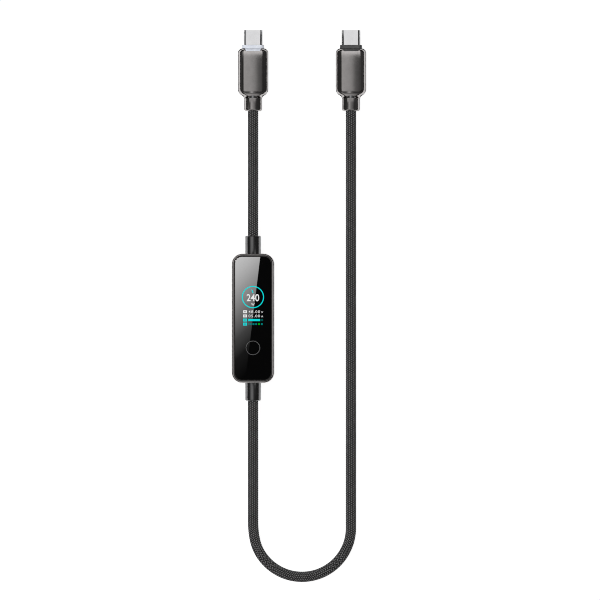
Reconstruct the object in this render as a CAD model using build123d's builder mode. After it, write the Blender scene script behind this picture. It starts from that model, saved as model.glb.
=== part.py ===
from build123d import *

import math
import os

# A USB-C charging cable with a power meter in it, lying flat on a table.
# +Z points up out of the meter's display, +Y along the meter towards the short cord,
# and the origin is the middle of the meter's underside. Lengths are in millimetres.
#
# The meter joins two braided cords. The short cord runs straight to the short plug, and the
# long cord makes one U-bend and runs back beside the meter to the long plug.

# ---------------------------------------------------------------- driving dimensions
# meter case
meter_width = 18.9
meter_length = 57.7
meter_height = 9.0
meter_corner = 4.6
bezel = 1.35
edge_round = 0.75
cover_height = 1.2
cover_inset = 0.12
fit = 0.05
cable_height = 4.5

# lens and display
lens_thickness = 0.9
lens_sink = 0.15
tape_thickness = 0.15
ledge_width = 0.8
ledge_thickness = 0.5
display_width = 13.5
display_length = 27.0
display_y = 5.95
glass_thickness = 0.9
backlight_thickness = 1.15
tray_wall = 0.3

# button
button_y = -13.2
ring_radius = 3.2
ring_width = 0.3
button_gap = 0.1
button_travel = 0.35

# main board
board_width = 15.8
board_length = 46.0
board_bottom = 3.3
board_thickness = 1.0
post_x = 6.5
post_y = 20.9

# cords
cord_diameter = 4.67
lying_height = 2.36
cord_end_y = 26.5
wire_radius = 0.38
relief_width = 6.98
relief_length = 8.0
bend_radius = 21.9
bend_y = -93.9

# plugs, whose lengths are measured from the tail sleeve's cord end
plug_spacing = 43.8
plug_start_y = 92.75
plug_width = 13.56
plug_height = 6.5
plug_crown = 0.55
plug_rim = 1.6
nose_corner = 1.75
shoulder_radius = 3.8
tail_width = 7.96
tail_height = 6.2
tail_length = 5.7
neck_width = 7.56
neck_height = 6.0
body_start = 6.4
body_end = 27.95
nose_width = 9.84
nose_height = 3.9
nose_thickness = 1.5
tab_width = 7.15
tab_tip_width = 6.3
tab_length = 1.35

# USB-C plug
usb_width = 8.25
usb_height = 2.4
usb_wall = 0.25
usb_corner = 1.15
usb_reach = 6.65
usb_rear = 22.0
slot_width = 6.7
slot_height = 0.75
slot_depth = 5.7
contact_pitch = 0.5
contact_width = 0.25
contact_thickness = 0.1
contacts_in_row = 12
paddle_thickness = 0.55

# ---------------------------------------------------------------- heights worked out
board_top = board_bottom + board_thickness
lens_top = meter_height - lens_sink
lens_bottom = lens_top - lens_thickness
ledge_top = lens_bottom - tape_thickness
ledge_bottom = ledge_top - ledge_thickness
glass_bottom = ledge_top - glass_thickness
tray_bottom = glass_bottom - backlight_thickness - tray_wall
inner_width = meter_width - 2 * bezel
inner_length = meter_length - 2 * bezel
inner_corner = meter_corner - bezel
wall_y = inner_length / 2
plug_z = plug_height / 2
cord_radius = cord_diameter / 2

os.makedirs("parts", exist_ok=True)


def save(part, name):
    part.label = name
    export_step(part, f"parts/{name}.step")


# ================================================================ meter
# ---------------------------------------------------------------- rear_cover
lip_thickness = 0.9
lip_gap_width = 9.4
post_radius = 1.1
pin_radius = 0.6
pin_head_radius = 1.0
pin_head = 0.4
posts = [(x, y) for x in (-post_x, post_x) for y in (-post_y, post_y)]

with BuildPart() as rear_cover:
    with BuildSketch():
        RectangleRounded(
            meter_width - 2 * cover_inset,
            meter_length - 2 * cover_inset,
            meter_corner - cover_inset,
        )
    extrude(amount=cover_height)
    fillet(faces().sort_by(Axis.Z)[0].edges(), edge_round)
    with BuildSketch(Plane.XY.offset(cover_height)):
        RectangleRounded(inner_width - 2 * fit, inner_length - 2 * fit, inner_corner - fit)
        offset(amount=-lip_thickness, mode=Mode.SUBTRACT)
        Rectangle(lip_gap_width, meter_length, mode=Mode.SUBTRACT)
    extrude(amount=board_bottom - cover_height)
    with BuildSketch(Plane.XY.offset(cover_height)):
        with Locations(*posts):
            Circle(post_radius)
    extrude(amount=board_bottom - cover_height)
    with BuildSketch(Plane.XY.offset(board_bottom)):
        with Locations(*posts):
            Circle(pin_radius)
    extrude(amount=board_thickness)
    with BuildSketch(Plane.XY.offset(board_top)):
        with Locations(*posts):
            Circle(pin_head_radius)
    extrude(amount=pin_head)
save(rear_cover.part, "rear_cover")

# ---------------------------------------------------------------- body_frame
neck_radius = 2.75

with BuildPart() as body_frame:
    with BuildSketch(Plane.XY.offset(cover_height)):
        RectangleRounded(meter_width, meter_length, meter_corner)
    extrude(amount=meter_height - cover_height)
    fillet(faces().sort_by(Axis.Z)[-1].edges(), edge_round)
    with BuildSketch(Plane.XY.offset(cover_height)):
        RectangleRounded(inner_width, inner_length, inner_corner)
    extrude(amount=ledge_bottom - cover_height, mode=Mode.SUBTRACT)
    with BuildSketch(Plane.XY.offset(ledge_bottom)):
        RectangleRounded(
            inner_width - 2 * ledge_width,
            inner_length - 2 * ledge_width,
            inner_corner - ledge_width,
        )
    extrude(amount=ledge_thickness, mode=Mode.SUBTRACT)
    with BuildSketch(Plane.XY.offset(ledge_top)):
        RectangleRounded(inner_width, inner_length, inner_corner)
    extrude(amount=meter_height - ledge_top, mode=Mode.SUBTRACT)
    with BuildSketch(Plane.XZ):
        with Locations((0, cable_height)):
            Circle(neck_radius)
    extrude(amount=meter_length, both=True, mode=Mode.SUBTRACT)
save(body_frame.part, "body_frame")

# ---------------------------------------------------------------- front_lens and its tape
lens_hole = ring_radius

with BuildPart() as front_lens:
    with BuildSketch(Plane.XY.offset(lens_bottom)):
        RectangleRounded(inner_width - 2 * fit, inner_length - 2 * fit, inner_corner - fit)
        with Locations((0, button_y)):
            Circle(lens_hole, mode=Mode.SUBTRACT)
    extrude(amount=lens_thickness)
    rim = faces().sort_by(Axis.Z)[-1].outer_wire().edges()
    chamfer(rim, 0.12)
save(front_lens.part, "front_lens")

with BuildPart() as lens_gasket:
    with BuildSketch(Plane.XY.offset(ledge_top)):
        RectangleRounded(inner_width - 2 * fit, inner_length - 2 * fit, inner_corner - fit)
        RectangleRounded(
            inner_width - 2 * ledge_width + 2 * fit,
            inner_length - 2 * ledge_width + 2 * fit,
            inner_corner - ledge_width + fit,
            mode=Mode.SUBTRACT,
        )
    extrude(amount=tape_thickness)
save(lens_gasket.part, "lens_gasket")

# ---------------------------------------------------------------- display
tape_width = 1.2

with BuildPart() as display_tape:
    with BuildSketch(Plane.XY.offset(ledge_top)):
        with Locations((0, display_y)):
            Rectangle(display_width, display_length)
            Rectangle(
                display_width - 2 * tape_width,
                display_length - 2 * tape_width,
                mode=Mode.SUBTRACT,
            )
    extrude(amount=tape_thickness)
save(display_tape.part, "display_tape")

with BuildPart() as display_glass:
    with BuildSketch(Plane.XY.offset(glass_bottom)):
        with Locations((0, display_y)):
            Rectangle(display_width, display_length)
    extrude(amount=glass_thickness)
    chamfer(edges().filter_by(Axis.Z), 0.3)
save(display_glass.part, "display_glass")

with BuildPart() as display_backlight:
    with BuildSketch(Plane.XY.offset(glass_bottom - backlight_thickness)):
        with Locations((0, display_y)):
            Rectangle(display_width - 2 * tray_wall, display_length - 2 * tray_wall)
    extrude(amount=backlight_thickness)
save(display_backlight.part, "display_backlight")

with BuildPart() as display_tray:
    with BuildSketch(Plane.XY.offset(tray_bottom)):
        with Locations((0, display_y)):
            Rectangle(display_width, display_length)
    extrude(amount=glass_bottom - tray_bottom)
    fillet(edges().filter_by(Axis.Z), 0.3)
    with BuildSketch(Plane.XY.offset(tray_bottom + tray_wall)):
        with Locations((0, display_y)):
            Rectangle(display_width - 2 * tray_wall, display_length - 2 * tray_wall)
    extrude(amount=backlight_thickness, mode=Mode.SUBTRACT)
save(display_tray.part, "display_tray")

# The flex leaves the glass's lower end, turns back under it and goes into its connector.
flex_width = 8.0
flex_thickness = 0.12
flex_top = 7.1
flex_low = 5.0
flex_turn_y = -7.95
display_end_y = display_y - display_length / 2
connector_y = -5.0
connector_length = 3.2
connector_width = 9.6
connector_height = 1.0
socket_depth = 1.1

with BuildPart() as display_flex:
    with BuildSketch(Plane.YZ.offset(-flex_width / 2)):
        with BuildLine():
            flex_out = Line((display_end_y - flex_thickness / 2, flex_top), (flex_turn_y, flex_top))
            flex_turn = ThreePointArc(
                flex_out @ 1,
                (flex_turn_y - (flex_top - flex_low) / 2, (flex_top + flex_low) / 2),
                (flex_turn_y, flex_low),
            )
            Line(flex_turn @ 1, (connector_y - connector_length / 2 + socket_depth, flex_low))
            offset(amount=flex_thickness / 2)
        make_face()
    extrude(amount=flex_width)
save(display_flex.part, "display_flex")

with BuildPart() as flex_connector:
    with BuildSketch(Plane.XY.offset(board_top)):
        with Locations((0, connector_y)):
            Rectangle(connector_width, connector_length)
    extrude(amount=connector_height)
    chamfer(faces().sort_by(Axis.Z)[-1].edges(), 0.12)
    socket_y = connector_y - connector_length / 2
    with BuildSketch(Plane.XZ.offset(-socket_y - socket_depth - 2 * fit)):
        with Locations((0, flex_low)):
            Rectangle(flex_width + 2 * fit, flex_thickness + fit)
    extrude(amount=socket_depth + 1, mode=Mode.SUBTRACT)
save(flex_connector.part, "flex_connector")

# ---------------------------------------------------------------- main_board and what is on it
with BuildPart() as main_board:
    with BuildSketch(Plane.XY.offset(board_bottom)):
        RectangleRounded(board_width, board_length, 1.0)
        with Locations(*posts):
            Circle(pin_radius, mode=Mode.SUBTRACT)
    extrude(amount=board_thickness)
save(main_board.part, "main_board")


def chip(name, size, places, top=False, edge=0.1):
    """Saves one node of rectangular components, size (x, y, height), on the board's top or underside."""
    plane = Plane.XY.offset(board_top if top else board_bottom - size[2])
    with BuildPart() as component:
        with BuildSketch(plane):
            with Locations(*places):
                Rectangle(size[0], size[1])
        extrude(amount=size[2])
        chamfer(edges().filter_by(Axis.Z), edge)
    save(component.part, name)


chip("meter_chip", (5.0, 5.0, 0.9), [(0, 9)])
chip("regulator_chip", (2.9, 1.6, 1.1), [(-3.4, -3)])
chip("crystal", (3.2, 2.5, 0.7), [(0, 4.2)])
chip("shunt_resistor", (3.2, 6.4, 0.6), [(3.6, 13.5)], top=True)
chip("capacitors", (1.0, 1.8, 0.8), [(x, y) for x in (-5.6, 5.4) for y in (-9, -5, 12, 15.5)])
chip("resistors", (0.8, 1.6, 0.45), [(x, y) for x in (-4.2, -2.1, 2.1) for y in (-18, 15)])

with BuildPart() as power_inductor:
    with BuildSketch(Plane.XY.offset(board_bottom - 1.7)):
        with Locations((2.4, -3)):
            RectangleRounded(4.0, 4.0, 0.8)
    extrude(amount=1.7)
    fillet(faces().sort_by(Axis.Z)[0].edges(), 0.3)
save(power_inductor.part, "power_inductor")

# ---------------------------------------------------------------- push switch
switch_size = 4.5
switch_height = 1.2
switch_floor = 0.4
well_radius = 1.7
dome_radius = 1.5
dome_rise = 0.4
dome_sheet = 0.08
switch_sheet = 0.2
plunger_radius = 1.0
plunger_flange_radius = 1.5
plunger_flange = 0.25
plunger_top = 6.3
dome_base = board_top + switch_floor
plunger_bottom = dome_base + dome_rise + fit
switch_top = board_top + switch_height

with BuildPart() as switch_base:
    with BuildSketch(Plane.XY.offset(board_top)):
        with Locations((0, button_y)):
            Rectangle(switch_size, switch_size)
    extrude(amount=switch_height)
    chamfer(edges().filter_by(Axis.Z), 0.4)
    with BuildSketch(Plane.XY.offset(dome_base)):
        with Locations((0, button_y)):
            Circle(well_radius)
    extrude(amount=switch_height, mode=Mode.SUBTRACT)
save(switch_base.part, "switch_base")

with BuildPart() as switch_cover:
    with BuildSketch(Plane.XY.offset(switch_top)):
        with Locations((0, button_y)):
            Rectangle(switch_size, switch_size)
            Circle(plunger_radius + button_gap, mode=Mode.SUBTRACT)
    extrude(amount=switch_sheet)
    chamfer(edges().filter_by(Axis.Z).filter_by(GeomType.LINE), 0.4)
save(switch_cover.part, "switch_cover")

# The dome is a thin cap of a sphere, whose centre is below the switch.
dome_sphere = (dome_radius**2 + dome_rise**2) / (2 * dome_rise)
dome_centre = dome_base + dome_rise - dome_sphere

with BuildPart() as switch_dome:
    with BuildSketch(Plane.XZ.offset(-button_y)):
        with Locations((0, dome_centre)):
            Circle(dome_sphere)
            Circle(dome_sphere - dome_sheet, mode=Mode.SUBTRACT)
        with Locations((dome_radius / 2, dome_base + dome_rise / 2)):
            Rectangle(dome_radius, dome_rise, mode=Mode.INTERSECT)
    revolve(axis=Axis((0, button_y, 0), (0, 0, 1)))
save(switch_dome.part, "switch_dome")

with BuildPart() as switch_plunger:
    with BuildSketch(Plane.XY.offset(plunger_bottom)):
        with Locations((0, button_y)):
            Circle(plunger_flange_radius)
    extrude(amount=plunger_flange)
    with BuildSketch(Plane.XY.offset(plunger_bottom)):
        with Locations((0, button_y)):
            Circle(plunger_radius)
    extrude(amount=plunger_top - plunger_bottom)
save(switch_plunger.part, "switch_plunger")

# ---------------------------------------------------------------- button_cap and button_ring
cap_radius = ring_radius - ring_width - button_gap
cap_flange_radius = 3.5
cap_flange_top = 7.55
cap_flange_bottom = 6.95
stem_radius = 1.1
ring_flange_radius = 3.8
ring_flange = 0.3

with BuildPart() as button_cap:
    with BuildSketch(Plane.XY.offset(cap_flange_bottom)):
        with Locations((0, button_y)):
            Circle(cap_flange_radius)
    extrude(amount=cap_flange_top - cap_flange_bottom)
    with BuildSketch(Plane.XY.offset(cap_flange_top)):
        with Locations((0, button_y)):
            Circle(cap_radius)
    extrude(amount=lens_top - cap_flange_top)
    chamfer(faces().sort_by(Axis.Z)[-1].edges(), 0.1)
    with BuildSketch(Plane.XY.offset(plunger_top)):
        with Locations((0, button_y)):
            Circle(stem_radius)
    extrude(amount=cap_flange_bottom - plunger_top)
save(button_cap.part, "button_cap")

with BuildPart() as button_ring:
    with BuildSketch(Plane.XY.offset(lens_bottom)):
        with Locations((0, button_y)):
            Circle(ring_radius)
    extrude(amount=lens_thickness)
    with BuildSketch(Plane.XY.offset(lens_bottom - ring_flange)):
        with Locations((0, button_y)):
            Circle(ring_flange_radius)
    extrude(amount=ring_flange)
    with BuildSketch(Plane.XY.offset(lens_bottom - ring_flange)):
        with Locations((0, button_y)):
            Circle(ring_radius - ring_width)
    extrude(amount=lens_thickness + ring_flange, mode=Mode.SUBTRACT)
save(button_ring.part, "button_ring")

# ---------------------------------------------------------------- strain reliefs
flange_width = 8.8
flange_height = 5.2
flange_thickness = 1.8
wire_bore = 1.9
relief_end = meter_length / 2 + relief_length


def strain_relief(name, side):
    """The sleeve on one end wall, side +1 or -1 along Y: sleeve, neck through the wall, flange behind it."""
    outward = Plane((0, 0, cable_height), x_dir=(1, 0, 0), z_dir=(0, side, 0))
    with BuildPart() as relief:
        with BuildSketch(outward.offset(wall_y - flange_thickness)):
            RectangleRounded(flange_width, flange_height, 0.5)
        extrude(amount=flange_thickness)
        with BuildSketch(outward.offset(wall_y)):
            Circle(neck_radius)
        extrude(amount=bezel)
        with BuildSketch(outward.offset(meter_length / 2)):
            Circle(relief_width / 2)
        extrude(amount=relief_length)
        mouth = edges().filter_by(GeomType.CIRCLE).sort_by(Axis.Y)
        fillet(mouth[-1] if side > 0 else mouth[0], 0.5)
        with BuildSketch(outward.offset(wall_y - flange_thickness)):
            Circle(wire_bore)
        extrude(amount=flange_thickness, mode=Mode.SUBTRACT)
        with BuildSketch(outward.offset(cord_end_y)):
            Circle(cord_radius)
        extrude(amount=relief_end - cord_end_y, mode=Mode.SUBTRACT)
    save(relief.part, name)


strain_relief("short_relief", 1)
strain_relief("long_relief", -1)


def wires(name, x, z, y_cord, y_spread, y_board, y_end, board_spread):
    """Saves the cord's four conductors, which leave its end in a row and spread out on the board."""
    spacing = 0.9
    with BuildPart() as strands:
        for place in (-1.5, -0.5, 0.5, 1.5):
            near, far = x + place * spacing, x + place * board_spread
            points = [(near, y_cord, z), (near, y_spread, z), (far, y_board, z), (far, y_end, z)]
            with BuildLine() as run:
                FilletPolyline(*points, radius=0.6)
            along = Vector(0, y_spread - y_cord, 0)
            with BuildSketch(Plane(points[0], x_dir=(1, 0, 0), z_dir=along)):
                Circle(wire_radius)
            sweep(path=run.wires()[0])
    save(strands.part, name)


wire_z = board_top + wire_radius
wires("short_end_wires", 0, wire_z, cord_end_y, 25.3, 23.7, 20.6, 2.4)
wires("long_end_wires", 0, wire_z, -cord_end_y, -25.3, -23.7, -20.6, 2.4)

# ================================================================ plugs
# Each plug points along +Y, with its tail sleeve on the cord and the USB-C shell at the tip.
crimp_radius = 2.6
cord_end_in_plug = 7.25
bore_end = 9.5
cavity_start = 9.0
cavity_width = 9.4
cavity_height = 4.2
mould_start = 19.5
paddle_width = 8.6
paddle_start = 12.6
paddle_end = 21.9
contact_start = 20.6
carrier_start = 22.3
carrier_tip_sink = 0.4
usb_tip = body_end + nose_thickness + usb_reach
slot_start = usb_tip - carrier_tip_sink - slot_depth


def across(x, y):
    """The plane across the plug at a length y from its tail: sketch x is +X, sketch y is +Z."""
    return Plane((x, plug_start_y + y, plug_z), x_dir=(1, 0, 0), z_dir=(0, -1, 0))


def from_above(x, z=0.0):
    """The plane along the plug: sketch x is +X, sketch y is the length from its tail."""
    return Plane((x, plug_start_y, z), x_dir=(1, 0, 0), z_dir=(0, 0, 1))


def plug_outside(x):
    """The housing's outside as one solid: rounded outline, crowned faces and a round rim."""
    middle = (body_start + body_end) / 2
    edge_height = plug_z - plug_crown
    half = plug_width / 2
    with BuildPart() as outside:
        with BuildSketch(from_above(x)):
            with Locations((0, middle)):
                Rectangle(plug_width, body_end - body_start)
            fillet(vertices().group_by(Axis.Y)[-1], nose_corner)
            fillet(vertices().group_by(Axis.Y)[0], shoulder_radius)
        extrude(amount=plug_height)
        with BuildSketch(across(x, body_end + 1)):
            with BuildLine():
                ThreePointArc((-half, edge_height), (0, plug_z), (half, edge_height))
                Line((half, edge_height), (half, -edge_height))
                ThreePointArc((half, -edge_height), (0, -plug_z), (-half, -edge_height))
                Line((-half, -edge_height), (-half, edge_height))
            make_face()
        extrude(amount=body_end - body_start + 2, mode=Mode.INTERSECT)
        fillet(edges().filter_by(Axis.Z, reverse=True), plug_rim)
    return outside.part


def nose_tab_prism(x):
    """The wedge at the housing's nose, through its whole height, that the nose ring fills."""
    with BuildPart() as prism:
        with BuildSketch(from_above(x)):
            with BuildLine():
                Polyline(
                    (-tab_tip_width / 2, body_end - tab_length),
                    (tab_tip_width / 2, body_end - tab_length),
                    (tab_width / 2, body_end),
                    (-tab_width / 2, body_end),
                    close=True,
                )
            make_face()
        extrude(amount=plug_height)
    return prism.part


def make_housing(name, x, outside, prism):
    with BuildPart() as housing:
        add(outside)
        with BuildSketch(across(x, body_start + 1)):
            RectangleRounded(neck_width, neck_height, 2.6)
        extrude(amount=body_start + 1 - tail_length)
        with BuildSketch(across(x, body_end)):
            RectangleRounded(cavity_width, cavity_height, 1.2)
        extrude(amount=body_end - cavity_start, mode=Mode.SUBTRACT)
        with BuildSketch(across(x, bore_end)):
            Circle(crimp_radius)
        extrude(amount=bore_end - tail_length, mode=Mode.SUBTRACT)
        add(prism, mode=Mode.SUBTRACT)
    save(housing.part, name + "_housing")


def make_nose_ring(name, x, outside, prism):
    with BuildPart() as nose_ring:
        add(prism)
        add(outside, mode=Mode.INTERSECT)
        with BuildSketch(across(x, body_end)):
            RectangleRounded(nose_width, nose_height, 1.6)
        extrude(amount=-nose_thickness)
        fillet(edges().filter_by(Axis.Y, reverse=True).group_by(Axis.Y)[-1], 0.3)
        with BuildSketch(across(x, body_end - tab_length)):
            RectangleRounded(usb_width, usb_height, usb_corner)
        extrude(amount=-(tab_length + nose_thickness), mode=Mode.SUBTRACT)
    save(nose_ring.part, name + "_nose_ring")


def make_tail_sleeve(name, x):
    with BuildPart() as tail_sleeve:
        with BuildSketch(across(x, tail_length)):
            RectangleRounded(tail_width, tail_height, 2.9)
        extrude(amount=tail_length)
        fillet(faces().sort_by(Axis.Y)[0].edges(), 0.7)
        fillet(faces().sort_by(Axis.Y)[-1].edges(), 0.35)
        with BuildSketch(across(x, tail_length)):
            Circle(cord_radius)
        extrude(amount=tail_length, mode=Mode.SUBTRACT)
    save(tail_sleeve.part, name + "_tail_sleeve")


def make_crimp(name, x):
    with BuildPart() as crimp:
        with BuildSketch(across(x, cord_end_in_plug)):
            Circle(crimp_radius)
            Circle(cord_radius, mode=Mode.SUBTRACT)
        extrude(amount=cord_end_in_plug - tail_length)
    save(crimp.part, name + "_crimp")


def make_inner_mould(name, x):
    with BuildPart() as inner_mould:
        with BuildSketch(across(x, body_end)):
            RectangleRounded(cavity_width, cavity_height, 1.2)
        extrude(amount=body_end - mould_start)
        with BuildSketch(across(x, body_end)):
            RectangleRounded(usb_width, usb_height, usb_corner)
        extrude(amount=body_end - usb_rear, mode=Mode.SUBTRACT)
        with BuildSketch(across(x, usb_rear)):
            Rectangle(paddle_width, paddle_thickness + 2 * contact_thickness)
        extrude(amount=usb_rear - mould_start, mode=Mode.SUBTRACT)
        add(nose_tab_prism(x), mode=Mode.SUBTRACT)
    save(inner_mould.part, name + "_inner_mould")


def make_shell(name, x):
    with BuildPart() as shell:
        with BuildSketch(across(x, usb_tip)):
            RectangleRounded(usb_width, usb_height, usb_corner)
            RectangleRounded(
                usb_width - 2 * usb_wall,
                usb_height - 2 * usb_wall,
                usb_corner - usb_wall,
                mode=Mode.SUBTRACT,
            )
        extrude(amount=usb_tip - usb_rear)
    save(shell.part, name + "_shell")


def contact_strips(x):
    """Twenty-four contacts in two facing rows, from the paddle board to the mouth."""
    strip_length = usb_tip - 0.9 - contact_start
    half_gap = paddle_thickness / 2
    with BuildPart() as strips:
        with BuildSketch(across(x, usb_tip - 0.9)):
            for row in (-1, 1):
                with Locations((0, row * (half_gap + contact_thickness / 2))):
                    with GridLocations(contact_pitch, 1, contacts_in_row, 1):
                        Rectangle(contact_width, contact_thickness)
        extrude(amount=strip_length)
    return strips.part


def latch_frame(x):
    """The grounded middle plate with its two side latches, cut from one steel sheet."""
    sheet, arm, reach = 0.16, 0.2, 4.6
    with BuildPart() as latch:
        with BuildSketch(from_above(x, plug_z - sheet / 2)):
            with Locations((0, slot_start - 1.5)):
                Rectangle(slot_width, 3.0)
            for side in (-1, 1):
                with Locations((side * (slot_width - arm) / 2, slot_start + reach / 2)):
                    Rectangle(arm, reach)
        extrude(amount=sheet)
    return latch.part


def make_carrier(name, x, strips, latch):
    with BuildPart() as carrier:
        with BuildSketch(across(x, usb_tip - carrier_tip_sink)):
            RectangleRounded(
                usb_width - 2 * usb_wall,
                usb_height - 2 * usb_wall,
                usb_corner - usb_wall,
            )
        extrude(amount=usb_tip - carrier_tip_sink - carrier_start)
        with BuildSketch(across(x, usb_tip)):
            Rectangle(slot_width, slot_height)
        extrude(amount=usb_tip - slot_start, mode=Mode.SUBTRACT)
        add(strips, mode=Mode.SUBTRACT)
        add(latch, mode=Mode.SUBTRACT)
    save(carrier.part, name + "_carrier")


def make_paddle_board(name, x):
    with BuildPart() as paddle_board:
        with BuildSketch(from_above(x, plug_z - paddle_thickness / 2)):
            with Locations((0, (paddle_start + paddle_end) / 2)):
                RectangleRounded(paddle_width, paddle_end - paddle_start, 0.4)
        extrude(amount=paddle_thickness)
    save(paddle_board.part, name + "_paddle_board")
    with BuildPart() as emarker_chip:
        with BuildSketch(from_above(x, plug_z + paddle_thickness / 2)):
            with Locations((0, 17.4)):
                Rectangle(2.5, 2.0)
        extrude(amount=0.6)
        chamfer(edges().filter_by(Axis.Z), 0.1)
    save(emarker_chip.part, name + "_emarker_chip")


def make_plug(name, x):
    outside = plug_outside(x)
    prism = nose_tab_prism(x)
    strips = contact_strips(x)
    latch = latch_frame(x)
    make_housing(name, x, outside, prism)
    make_nose_ring(name, x, outside, prism)
    make_tail_sleeve(name, x)
    make_crimp(name, x)
    make_inner_mould(name, x)
    make_shell(name, x)
    make_carrier(name, x, strips, latch)
    make_paddle_board(name, x)
    save(strips, name + "_contacts")
    save(latch, name + "_latch_plate")
    cord_end = plug_start_y + cord_end_in_plug
    wire_height = plug_z + paddle_thickness / 2 + wire_radius
    pads = plug_start_y + paddle_start
    wires(name + "_wires", x, wire_height, cord_end, cord_end + 2, pads - 0.4, pads + 2.2, 2.0)


make_plug("short_plug", 0)
make_plug("long_plug", plug_spacing)

# ================================================================ cords
# Routes go from the relief to the plug. The cord leaves the meter level, comes down to the
# table, and rises again to its plug. Each corner's arc is as large as its two runs allow.
plug_cord_end = plug_start_y + cord_end_in_plug

short_route = [
    (0, cord_end_y, cable_height),
    (0, 45, cable_height),
    (0, 63.5, 2.4),
    (0, 82.5, plug_z),
    (0, plug_cord_end, plug_z),
]

long_route = [
    (0, -cord_end_y, cable_height),
    (0, -45, cable_height),
    (0, -63.5, 3.2),
    (0, -82, lying_height),
    (0, -99.77, lying_height),
    (5.87, -109.93, lying_height),
    (16.03, -115.8, lying_height),
    (27.77, -115.8, lying_height),
    (37.93, -109.93, lying_height),
    (plug_spacing, -99.77, lying_height),
    (plug_spacing, 62, lying_height),
    (plug_spacing, 82, plug_z),
    (plug_spacing, plug_cord_end, plug_z),
]


def corner_radii(points):
    """Each corner's arc radius: 0.45 of the shorter run, over the tangent of half the turn."""
    radii = []
    for before, corner, after in zip(points, points[1:], points[2:]):
        run_in = Vector(*corner) - Vector(*before)
        run_out = Vector(*after) - Vector(*corner)
        half_turn = math.radians(run_in.get_angle(run_out)) / 2
        radii.append(0.45 * min(run_in.length, run_out.length) / math.tan(half_turn))
    return radii


def make_cord(name, points):
    radii = corner_radii(points)
    with BuildPart() as cord:
        with BuildLine() as route:
            FilletPolyline(*points, radius=radii)
        with BuildSketch(Plane(points[0], z_dir=Vector(*points[1]) - Vector(*points[0]))):
            Circle(cord_radius)
        sweep(path=route.wires()[0])
    length = route.wires()[0].length
    share = cord.part.volume / (math.pi * cord_radius**2 * length)
    print(name, "length", round(length, 1), "volume over section x length", round(share, 4))
    print("  radii", [round(r, 1) for r in radii])
    save(cord.part, name)


make_cord("short_cord", short_route)
make_cord("long_cord", long_route)
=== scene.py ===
import math

import bpy
import numpy as np
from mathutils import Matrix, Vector


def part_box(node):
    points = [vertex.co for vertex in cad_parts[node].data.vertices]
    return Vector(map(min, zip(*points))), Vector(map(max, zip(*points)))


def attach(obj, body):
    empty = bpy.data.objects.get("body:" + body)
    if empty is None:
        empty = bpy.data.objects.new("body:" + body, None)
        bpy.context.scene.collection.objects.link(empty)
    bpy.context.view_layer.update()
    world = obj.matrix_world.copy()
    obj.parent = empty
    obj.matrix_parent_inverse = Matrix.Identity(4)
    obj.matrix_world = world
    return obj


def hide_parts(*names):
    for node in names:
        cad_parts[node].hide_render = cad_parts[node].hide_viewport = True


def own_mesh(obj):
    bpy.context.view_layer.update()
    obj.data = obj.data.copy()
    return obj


# A USB-C charging cable with a power meter in it, lying on a white table and seen from above.
# Everything is in metres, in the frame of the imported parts: +Z up out of the display, +Y along
# the meter towards the short cord, origin in the middle of the meter's underside.

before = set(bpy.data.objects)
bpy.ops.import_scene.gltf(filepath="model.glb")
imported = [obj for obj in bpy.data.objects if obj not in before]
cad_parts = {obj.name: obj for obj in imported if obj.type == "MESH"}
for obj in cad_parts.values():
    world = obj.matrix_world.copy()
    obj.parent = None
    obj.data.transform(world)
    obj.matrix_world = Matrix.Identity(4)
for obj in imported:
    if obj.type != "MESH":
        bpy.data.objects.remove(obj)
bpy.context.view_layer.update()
MM = 0.001

# ---------------------------------------------------------------- sizes taken from the frame
meter_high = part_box("body_frame")[1]
lens_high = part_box("front_lens")[1]
meter_top = meter_high.z
lens_top = lens_high.z
plug_low, plug_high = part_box("short_plug_housing")
shell_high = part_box("short_plug_shell")[1]
sleeve_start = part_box("short_plug_tail_sleeve")[0].y
long_plug_x = (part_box("long_plug_housing")[0].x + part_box("long_plug_housing")[1].x) / 2
plug_xs = {"short": 0.0, "long": long_plug_x}


# ---------------------------------------------------------------- camera
def make_camera():
    """Straight above the cable, far enough away that it is seen almost without perspective."""
    distance = 1.6
    seen_width = 268.3 * MM
    middle_x, middle_y, middle_height = 21.0 * MM, 8.14 * MM, 4.5 * MM
    sensor = 36.0
    data = bpy.data.cameras.new("camera")
    data.sensor_width = sensor
    data.lens = sensor * distance / seen_width
    data.clip_start = 0.01
    data.clip_end = 20.0
    camera = bpy.data.objects.new("camera", data)
    camera.location = (middle_x, middle_y, distance + middle_height)
    bpy.context.scene.collection.objects.link(camera)
    bpy.context.scene.camera = camera


make_camera()


# ---------------------------------------------------------------- cords
# Both routes repeat the points of the cords' solids. The long cord has two more points on its
# long straight run, one near each end of it.
cable_height = 4.5 * MM
lying_height = 2.36 * MM
plug_height = 3.25 * MM
spacing = 43.8 * MM
bend_start, bend_low = -99.77 * MM, -115.8 * MM

short_route = [
    (0, 26.5 * MM, cable_height),
    (0, 45 * MM, cable_height),
    (0, 63.5 * MM, 2.4 * MM),
    (0, 82.5 * MM, plug_height),
    (0, 100 * MM, plug_height),
]
long_route = [
    (0, -26.5 * MM, cable_height),
    (0, -45 * MM, cable_height),
    (0, -63.5 * MM, 3.2 * MM),
    (0, -82 * MM, lying_height),
    (0, bend_start, lying_height),
    (5.87 * MM, -109.93 * MM, lying_height),
    (16.03 * MM, bend_low, lying_height),
    (27.77 * MM, bend_low, lying_height),
    (37.93 * MM, -109.93 * MM, lying_height),
    (spacing, bend_start, lying_height),
    (spacing, -88.03 * MM, lying_height),
    (spacing, 42 * MM, lying_height),
    (spacing, 62 * MM, lying_height),
    (spacing, 82 * MM, plug_height),
    (spacing, 100 * MM, plug_height),
]

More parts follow.
